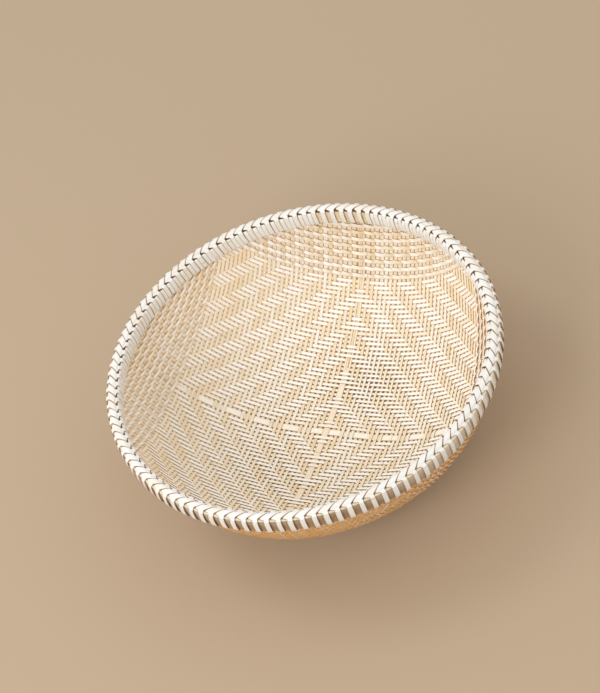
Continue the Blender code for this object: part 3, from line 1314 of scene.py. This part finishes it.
@dataclass(frozen=True)
class Lamp:
    """A round soft lamp that points at the basket: its name, power in watts, width and place."""

    name: str
    power: float
    size: float
    place: Triple

    def hang(self) -> None:
        """Add it to the scene."""
        lamp = bpy.data.lights.new(self.name, "AREA")
        lamp.energy, lamp.shape, lamp.size = self.power, "DISK", self.size
        holder = shown(self.name, lamp)
        holder.location = self.place
        holder.rotation_euler = (-Vector(self.place)).to_track_quat("-Z", "Y").to_euler()


@dataclass
class Studio:
    """A plain floor, soft light from the left and the front, and the photograph's viewing angle."""

    FLOOR_CORNERS: ClassVar[tuple[tuple[int, int], ...]] = ((-1, -1), (1, -1), (1, 1), (-1, 1))

    floor_color: Color = (0.50, 0.385, 0.27)
    floor_shade: float = 0.93
    floor_grain: Triple = (900, 900, 900)
    floor_roughness: float = 0.9
    floor_specular: float = 0.15
    floor_reach: float = 9.0
    sky: Color = (1.0, 0.98, 0.945)
    sky_strength: float = 0.90
    lamps: tuple[Lamp, ...] = (
        Lamp("key_softbox", 4.0, 0.7, (-0.95, 0.0, 1.6)),
        Lamp("front_softbox", 8.6, 0.8, (-0.3, -1.4, 1.1)),
    )
    eye: Triple = (0.569917, -0.806340, 1.193533)
    right: Triple = (0.91730491, 0.30917103, -0.25092823)
    down: Triple = (0.09021786, -0.77516519, -0.62528367)
    focal_px: float = 1998.25
    sensor: float = 36.0
    farthest: float = 60

    def floor(self) -> None:
        """Lay the floor under the basket."""
        corners = [(x * self.floor_reach, y * self.floor_reach, 0) for x, y in self.FLOOR_CORNERS]
        mesh = bpy.data.meshes.new("floor")
        mesh.from_pydata(corners, [], [(0, 1, 2, 3)])
        material = bpy.data.materials.new("floor_paper")
        graph = Graph(material)
        grain = graph.noise(graph.scaled(graph.point(), self.floor_grain))
        darker = tuple(self.floor_shade * part for part in self.floor_color)
        graph.surface({
            "Base Color": graph.blend(grain, darker, self.floor_color),
            "Roughness": self.floor_roughness, "Specular IOR Level": self.floor_specular,
        })
        mesh.materials.append(material)
        floor = shown("floor", mesh)

    def light(self) -> None:
        """Hang the lamps and fill the rest from the sky."""
        for lamp in self.lamps:
            lamp.hang()
        world = bpy.data.worlds.new("studio")
        bpy.context.scene.world = world
        graph = Graph(world)
        inputs = {"Color": (*self.sky, 1), "Strength": self.sky_strength}
        glow = graph.node("ShaderNodeBackground", {}, inputs, "Background")
        graph.node("ShaderNodeOutputWorld", {}, {"Surface": glow})

    def camera(self) -> None:
        """Set the camera where the photograph was taken from, seen from the basket."""
        lens = bpy.data.cameras.new("camera")
        lens.sensor_fit, lens.sensor_width = "HORIZONTAL", self.sensor
        lens.lens = self.focal_px * self.sensor / PHOTO_WIDTH_PX
        lens.clip_end = self.farthest
        right, up = Vector(self.right), -Vector(self.down)
        back = right.cross(up)
        turn = Matrix((right, up, back)).transposed().to_4x4()
        holder = shown("camera", lens)
        holder.matrix_world = Matrix.Translation(self.eye) @ turn
        bpy.context.scene.camera = holder


def main() -> None:
    """Build the basket from the mat outwards, then the studio round it."""
    logging.basicConfig(level=logging.INFO, format="%(name)s %(message)s")
    dice = random.Random(DRAW_SEED)
    net = StripNet(BowlSurface())
    mat = TwillMat(net)
    long_strips = mat.build(Family.LONG, LONG_FINISH, dice)
    mat.build(Family.CROSS, CROSS_FINISH, dice)
    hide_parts("woven_base")
    for side in Side:
        TwinedPanel(side, net).build(PANEL_FINISH, dice)
    RimStitching().build(STITCH_FINISH, dice)
    Hoops({"outer_hoop": OUTER_FINISH, "inner_hoop": INNER_FINISH}).dress()
    studio = Studio()
    studio.floor()
    studio.light()
    studio.camera()
    bpy.context.scene.view_settings.view_transform = "Standard"


if __name__ == "__main__":
    main()
